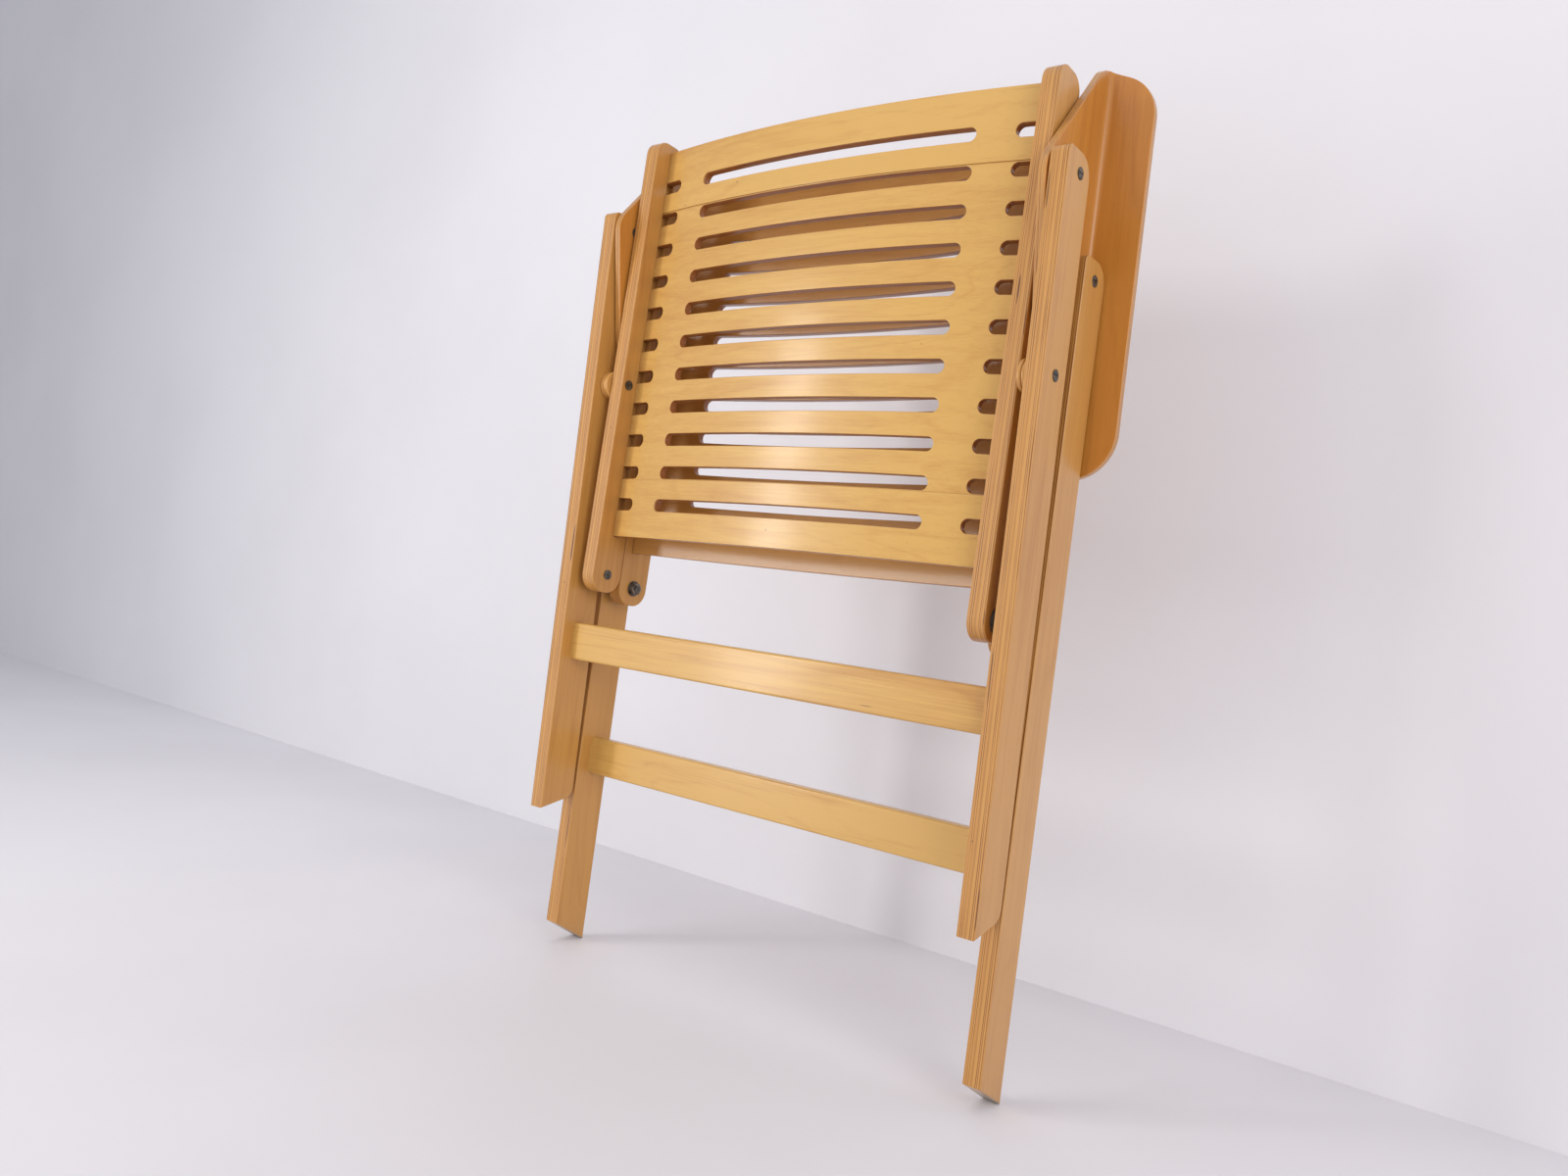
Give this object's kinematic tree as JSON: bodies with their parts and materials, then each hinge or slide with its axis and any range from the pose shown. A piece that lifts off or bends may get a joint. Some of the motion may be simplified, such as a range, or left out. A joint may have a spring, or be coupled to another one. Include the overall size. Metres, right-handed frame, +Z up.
{
  "type": "folding armchair",
  "caption": "Folding armchair with bent-ply armrests, slotted ply seat and back panels on side rails, and crossing leg frames that fold flat in one linked motion.",
  "frame": {"origin": "on the floor below the middle of the folded chair's footprint", "axes": "+X across the chair to the sitter's left when folded faces are seen from the front, +Y from the front leg frame to the armrests' broad plates, +Z up along the folded chair"},
  "size_m": [0.625, 0.1153, 0.961],
  "materials": {
    "ply": "satin varnish",
    "arm_ply": "satin varnish",
    "dowel_wood": "bare",
    "turned_wood": "satin varnish",
    "metal": "dull"
  },
  "bodies": {
    "rear_frame": {"left_rear_leg": "ply", "right_rear_leg": "ply", "rear_stretcher": "ply", "rear_stretcher_dowels": "dowel_wood", "rear_leg_pivot_screws": "metal", "rear_leg_washers": "metal"},
    "right_arm": {"right_armrest": "arm_ply"},
    "left_arm": {"left_armrest": "arm_ply"},
    "front_frame": {"left_front_leg": "ply", "right_front_leg": "ply", "front_stretcher": "ply", "front_stretcher_dowels": "dowel_wood", "front_leg_pivot_screws": "metal", "front_leg_washers": "metal", "seat_spacers": "turned_wood", "seat_pivot_screws": "metal"},
    "seat": {"left_seat_rail": "ply", "right_seat_rail": "ply", "seat_panel": "ply", "seat_panel_front_band": "ply", "seat_panel_rear_band": "ply", "seat_link_pins": "metal"},
    "right_strap": {"right_link_strap": "metal"},
    "left_strap": {"left_link_strap": "metal"},
    "back": {"left_back_rail": "ply", "right_back_rail": "ply", "back_panel": "ply", "back_panel_top_band": "ply", "back_panel_lower_band": "ply", "back_link_bolts": "metal", "back_link_nuts": "metal", "back_link_washers": "metal", "back_pivot_screws": "metal", "back_pivot_washers": "metal"}
  },
  "joints": [
    {"name": "right_arm_fold", "type": "hinge", "parent": "rear_frame", "child": "right_arm", "pos_m": [0.276, 0.0249, 0.753], "axis": [1, 0, 0], "range_deg": [0, 60.77]},
    {"name": "left_arm_fold", "type": "hinge", "parent": "rear_frame", "child": "left_arm", "pos_m": [-0.276, 0.0249, 0.753], "axis": [1, 0, 0], "range_deg": [0, 60.81]},
    {"name": "front_frame_fold", "type": "hinge", "parent": "right_arm", "child": "front_frame", "pos_m": [0.276, -0.0321, 0.831], "axis": [1, 0, 0], "range_deg": [-113.02, 0]},
    {"name": "seat_fold", "type": "hinge", "parent": "front_frame", "child": "seat", "pos_m": [0.246, -0.03338, 0.65271], "axis": [1, 0, 0], "range_deg": [0, 107.53]},
    {"name": "right_strap_fold", "type": "hinge", "parent": "seat", "child": "right_strap", "pos_m": [0.2568, -0.0294, 0.4352], "axis": [1, 0, 0], "range_deg": [0, 24.42]},
    {"name": "left_strap_fold", "type": "hinge", "parent": "seat", "child": "left_strap", "pos_m": [-0.2568, -0.0294, 0.4352], "axis": [1, 0, 0], "range_deg": [0, 24.42]},
    {"name": "back_fold", "type": "hinge", "parent": "right_strap", "child": "back", "pos_m": [0.246, 0.01496, 0.4229], "axis": [1, 0, 0], "range_deg": [-125.67, 0]}
  ],
  "couplings": [
    {"joint": "left_arm_fold", "follows": "right_arm_fold", "ratio": 1},
    {"joint": "front_frame_fold", "follows": "right_arm_fold", "ratio": -1.8591},
    {"joint": "seat_fold", "follows": "right_arm_fold", "ratio": 1.7688},
    {"joint": "right_strap_fold", "follows": "right_arm_fold", "ratio": 0.40109},
    {"joint": "left_strap_fold", "follows": "right_arm_fold", "ratio": 0.40109},
    {"joint": "back_fold", "follows": "right_arm_fold", "ratio": -2.0673}
  ]
}
